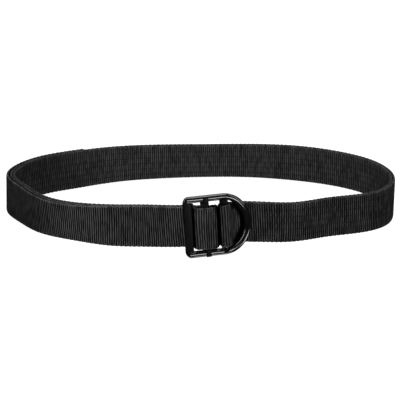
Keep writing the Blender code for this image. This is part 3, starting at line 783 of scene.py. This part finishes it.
def black_coat(name, roughness, rough_spread, shine):
    """Near-black base, darker and lighter in broad patches; roughness + spread * patch; fine low waves."""
    material, tree, shader = new_material(name)
    where = add_node(tree, "TexCoord", output="Object")
    fine = add_node(tree, "TexNoise", named={"Vector": where, "Scale": WAVE_SCALE, "Detail": 3.0})
    broad = add_node(tree, "TexNoise", named={"Vector": where, "Scale": PATCH_SCALE})
    mixed = {0: broad, 6: linear("#050506"), 7: linear("#101012")}
    waves = {"Strength": WAVE_STRENGTH, "Distance": WAVE_DEPTH, "Height": fine}
    sockets = {
        "Base Color": add_node(tree, "Mix", output=2, named=mixed, data_type="RGBA"),
        "Roughness": add_node(tree, "Math", broad, rough_spread, roughness, operation="MULTIPLY_ADD"),
        "Normal": add_node(tree, "Bump", named=waves),
        "Specular IOR Level": shine,
    }
    fill(tree, shader, sockets)
    return material


glossy_coat = black_coat("glossy_black_coated_steel", 0.05, 0.08, 0.5)
satin_coat = black_coat("satin_black_coated_steel", 0.35, 0.10, 0.03)

# %% Make the frame
SHARP_ANGLE = math.radians(40)
FACING = 0.9  # a face of the flat bar is satin where its normal's share along w is more than this
rod_places, rod_faces = rod(frame_path(), ROD_RADIUS + COAT)
cross_v = np.linspace(-RAIL_V, RAIL_V, CROSSBAR_RINGS)
foot = step(*FOOT_TOP, cross_v) + step(*FOOT_BOTTOM, -cross_v)
cross_path = np.column_stack([np.full(CROSSBAR_RINGS, CROSSBAR_U), cross_v])
cross_radii = CROSSBAR_DIAMETER / 2 + CROSSBAR_FOOT * foot
cross_places, cross_faces = rod(cross_path, cross_radii, CROSSBAR_SIDES)


def joined(parts):
    """One list of points and faces from several: a part's face numbers go up by the points before it."""
    places, faces, before = [], [], 0
    for part_places, part_faces in parts:
        flat = part_places.reshape(-1, 3)
        places.append(flat)
        faces += [[before + corner for corner in face] for face in part_faces]
        before += len(flat)
    return np.vstack(places), faces


frame_places, frame_faces = joined(
    [(rod_places, rod_faces), (bar_places, bar_faces), (cross_places, cross_faces)]
)
frame_piece = add_piece("buckle_frame_smooth", frame_places, frame_faces, glossy_coat)
frame_piece.data.set_sharp_from_angle(angle=SHARP_ANGLE)
frame_piece.data.materials.append(satin_coat)
normals = np.zeros(3 * len(frame_piece.data.polygons), dtype=np.float32)
frame_piece.data.polygons.foreach_get("normal", normals)
order = np.arange(len(frame_piece.data.polygons))
on_bar = (order >= len(rod_faces)) & (order < len(rod_faces) + len(bar_faces))
flat = on_bar & (np.abs(normals.reshape(-1, 3) @ w_axis) > FACING)
frame_piece.data.polygons.foreach_set("material_index", flat.astype(np.int32))

# %% [markdown]
# ## The slide bar
# The webbing is clamped by a loose bar that slides along the rails. Each of its ends is a hook: a long
# lug in front of the rail and a short one behind it. Seen along the bar a hook is a U, so its outline
# is made into a thick plate that stands across the rail.


# %% Slide bar and its hooks
HOOK_FRONT, HOOK_BACK = 0.9, 0.2  # how far each leg reaches past the rail's middle, in rod radii
HOOK_CORNER, HOOK_RIM = 0.45 * MM, 0.4 * MM
SLIDE_CORNER, SLIDE_RIM = 0.8 * MM, 0.6 * MM


def hook(side):
    """The U of a hook in w and v, made into a plate across u; side is 1 for the top and -1 below."""
    near, foot = ROD_RADIUS + FIT_GAP, INNER_V - (LUG_FOOT if side > 0 else LOWER_LUG_FOOT)
    far = near + LUG_THICKNESS
    front, back = RAIL_V + HOOK_FRONT * ROD_RADIUS, RAIL_V + HOOK_BACK * ROD_RADIUS
    points = np.array(
        [
            (-far, foot), (-far, back), (-near, back), (-near, INNER_V),
            (near, INNER_V), (near, front), (far, front), (far, foot),
        ]
    )  # fmt: skip
    rings, depth, faces = plate(rounded(points * [1, side], HOOK_CORNER, 4), LUG_WIDTH, HOOK_RIM)
    return from_buckle(LUG_U + depth * side, rings[..., 1], rings[..., 0]), [face[::side] for face in faces]


slide_corners = [
    (SLIDE_U - SLIDE_WIDTH / 2, -INNER_V),
    (SLIDE_U + SLIDE_WIDTH / 2, -INNER_V),
    (SLIDE_U + SLIDE_WIDTH / 2, INNER_V),
    (SLIDE_U - SLIDE_WIDTH / 2, INNER_V),
]
slide_outline = rounded(slide_corners, SLIDE_CORNER)
slide_rings, slide_depth, slide_faces = plate(slide_outline, SLIDE_THICKNESS, SLIDE_RIM)
slide_places, slide_faces = joined(
    [(from_buckle(slide_rings[..., 0], slide_rings[..., 1], slide_depth), slide_faces), hook(1), hook(-1)]
)
slide_piece = add_piece("slide_bar_smooth", slide_places, slide_faces, satin_coat)
slide_piece.data.set_sharp_from_angle(angle=SHARP_ANGLE)


# %% Turn all faces outward
def face_outward(made):
    """Blender works out for each closed shell which way is out, and turns the faces that point in."""
    shape = bmesh.new()
    shape.from_mesh(made.data)
    bmesh.ops.recalc_face_normals(shape, faces=shape.faces)
    shape.to_mesh(made.data)
    shape.free()


for made in (frame_piece, slide_piece, outer_webbing, inner_webbing, outer_stitches, inner_stitches):
    face_outward(made)

# %% [markdown]
# ## Which piece stands for which solid
# Each new piece rides on the model's one body and hides the plain solid that it replaces.

# %% Tie the pieces to the model
for piece, node in (
    (outer_webbing, "webbing_outer"),
    (inner_webbing, "webbing_inner"),
    (frame_piece, "buckle_frame"),
    (slide_piece, "slide_bar"),
):
    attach(piece, "root")
    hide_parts(node)
for piece, slot in ((outer_stitches, "webbing_outer"), (inner_stitches, "webbing_inner")):
    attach(piece, "root")

# %% [markdown]
# ## Floor, light and camera
# The belt stands on a plain white floor that glows a little, as a product photographer's light table
# does, so it stays pure white and lights the webbing from below. Broad lamps from the front, the top and
# the back light the cloth. Glossy metal shows only what it mirrors, and there the photo has a few thin
# bright lines on black. So the lamps for the cloth aren't mirrored, and separate white cards, seen in
# mirrors only, stand where each line's mirror direction points. The floor isn't mirrored either, so a
# card may stand low.

# %% White floor
FLOOR_HALF, FLOOR_GLOW = 8, 0.96  # metres, and a little less than pure white, which the lamps add
FLOOR_GRAIN_SCALE = 60.0  # cells to a metre: 17 mm across
white_floor, tree, shader = new_material("matte_white_floor")
where = add_node(tree, "TexCoord", output="Object")
grain = add_node(tree, "TexNoise", named={"Vector": where, "Scale": FLOOR_GRAIN_SCALE})
mixed = {0: grain, 6: linear("#7c7c7c"), 7: linear("#808080")}
paper = add_node(tree, "Mix", output=2, named=mixed, data_type="RGBA")
sockets = {
    "Base Color": paper,
    "Roughness": 0.9,
    "Specular IOR Level": 0.1,
    "Emission Color": (1, 1, 1, 1),
    "Emission Strength": FLOOR_GLOW,
}
fill(tree, shader, sockets)
corners = FLOOR_HALF * np.array([(-1, -1, 0), (1, -1, 0), (1, 1, 0), (-1, 1, 0)], dtype=float)
floor = add_piece("floor", corners, [[0, 1, 2, 3]], white_floor)
floor.visible_glossy = False

# %% Lamps and cards
LAMPS = (
    # name, azimuth and elevation in degrees, distance, width and height, radiance
    ("front_left_lamp", -16, 15, 2.4, (0.9, 0.9), 6.8),
    ("front_right_lamp", 32, 15, 2.4, (0.9, 0.9), 1.2),
    ("back_left_lamp", -165, 25, 2.4, (0.9, 0.9), 5),
    ("back_right_lamp", 165, 25, 2.4, (0.9, 0.9), 5),
    ("front_top_lamp", 0, 45, 2.4, (0.9, 0.9), 5),
    ("overhead_lamp", 0, 106, 2.2, (1.6, 0.7), 12),
)
CARDS = (
    ("front_card", 22, 3, 2.5, (1.0, 0.5), 20),
    ("overhead_card", 120, 82, 2.0, (0.8, 0.7), 8),
    ("left_card", -62, 25, 2.5, (0.45, 2.5), 10),
    ("right_card", 80, 38, 2.4, (0.7, 2.0), 5),
    ("low_right_card", 60, -31, 2.4, (1.0, 0.7), 13),
    ("low_front_card", 35, -66, 2.2, (0.8, 0.7), 6),
    ("back_card", 180, 30, 2.4, (2.4, 2.0), 3),
)
scene = bpy.context.scene


def softbox(name, azimuth, elevation, far, size, radiance, card):
    """A flat lamp that faces the belt: power = radiance * pi * area.

    A card shows in mirrors only, and a lamp lights but never shows in one."""
    light = bpy.data.lights.new(name, "AREA")
    light.shape = "RECTANGLE"
    light.size, light.size_y = size
    light.energy = radiance * math.pi * size[0] * size[1]
    made = bpy.data.objects.new(name, light)
    a, e = math.radians(azimuth), math.radians(elevation)
    away = Vector((math.sin(a) * math.cos(e), -math.cos(a) * math.cos(e), math.sin(e)))
    made.location = away * far
    made.rotation_euler = away.to_track_quat("Z", "Y").to_euler()
    made.visible_camera = False
    made.visible_diffuse, made.visible_glossy = not card, card
    scene.collection.objects.link(made)


for rows, card in ((LAMPS, False), (CARDS, True)):
    for row in rows:
        softbox(*row, card)
print(len(LAMPS), "lamps and", len(CARDS), "cards")

# %% Air
AIR_BELOW, AIR_ABOVE = 0.02, 0.12  # the grey of the empty studio, under and over the horizon
world = bpy.data.worlds.new("studio_air")
world.use_nodes = True
scene.world = world
tree = world.node_tree
direction = add_node(tree, "TexCoord", output="Generated")
rise = add_node(tree, "SeparateXYZ", direction, output=2)
grey = add_node(tree, "MapRange", rise, -0.02, 0.25, AIR_BELOW, AIR_ABOVE)
fill(tree, tree.nodes["Background"], {"Color": (1, 1, 1, 1), "Strength": grey})
scene.view_settings.view_transform = "Standard"

# %% Camera
# A long lens, far enough away that the loop's near and far sides differ little in size.
CAMERA_DISTANCE, CAMERA_ELEVATION = 1.430, math.radians(26.5)
CAMERA_AIM = Vector((0.0007, -0.0077, 0.020))
LENS, SENSOR = 133.2, 36
camera = bpy.data.objects.new("camera", bpy.data.cameras.new("camera"))
away = Vector((0, -math.cos(CAMERA_ELEVATION), math.sin(CAMERA_ELEVATION)))
camera.location = CAMERA_AIM + away * CAMERA_DISTANCE
camera.rotation_euler = (math.pi / 2 - CAMERA_ELEVATION, 0, 0)
camera.data.lens, camera.data.sensor_width = LENS, SENSOR
scene.collection.objects.link(camera)
scene.camera = camera
print(f"camera {CAMERA_DISTANCE} m away, {LENS} mm lens")
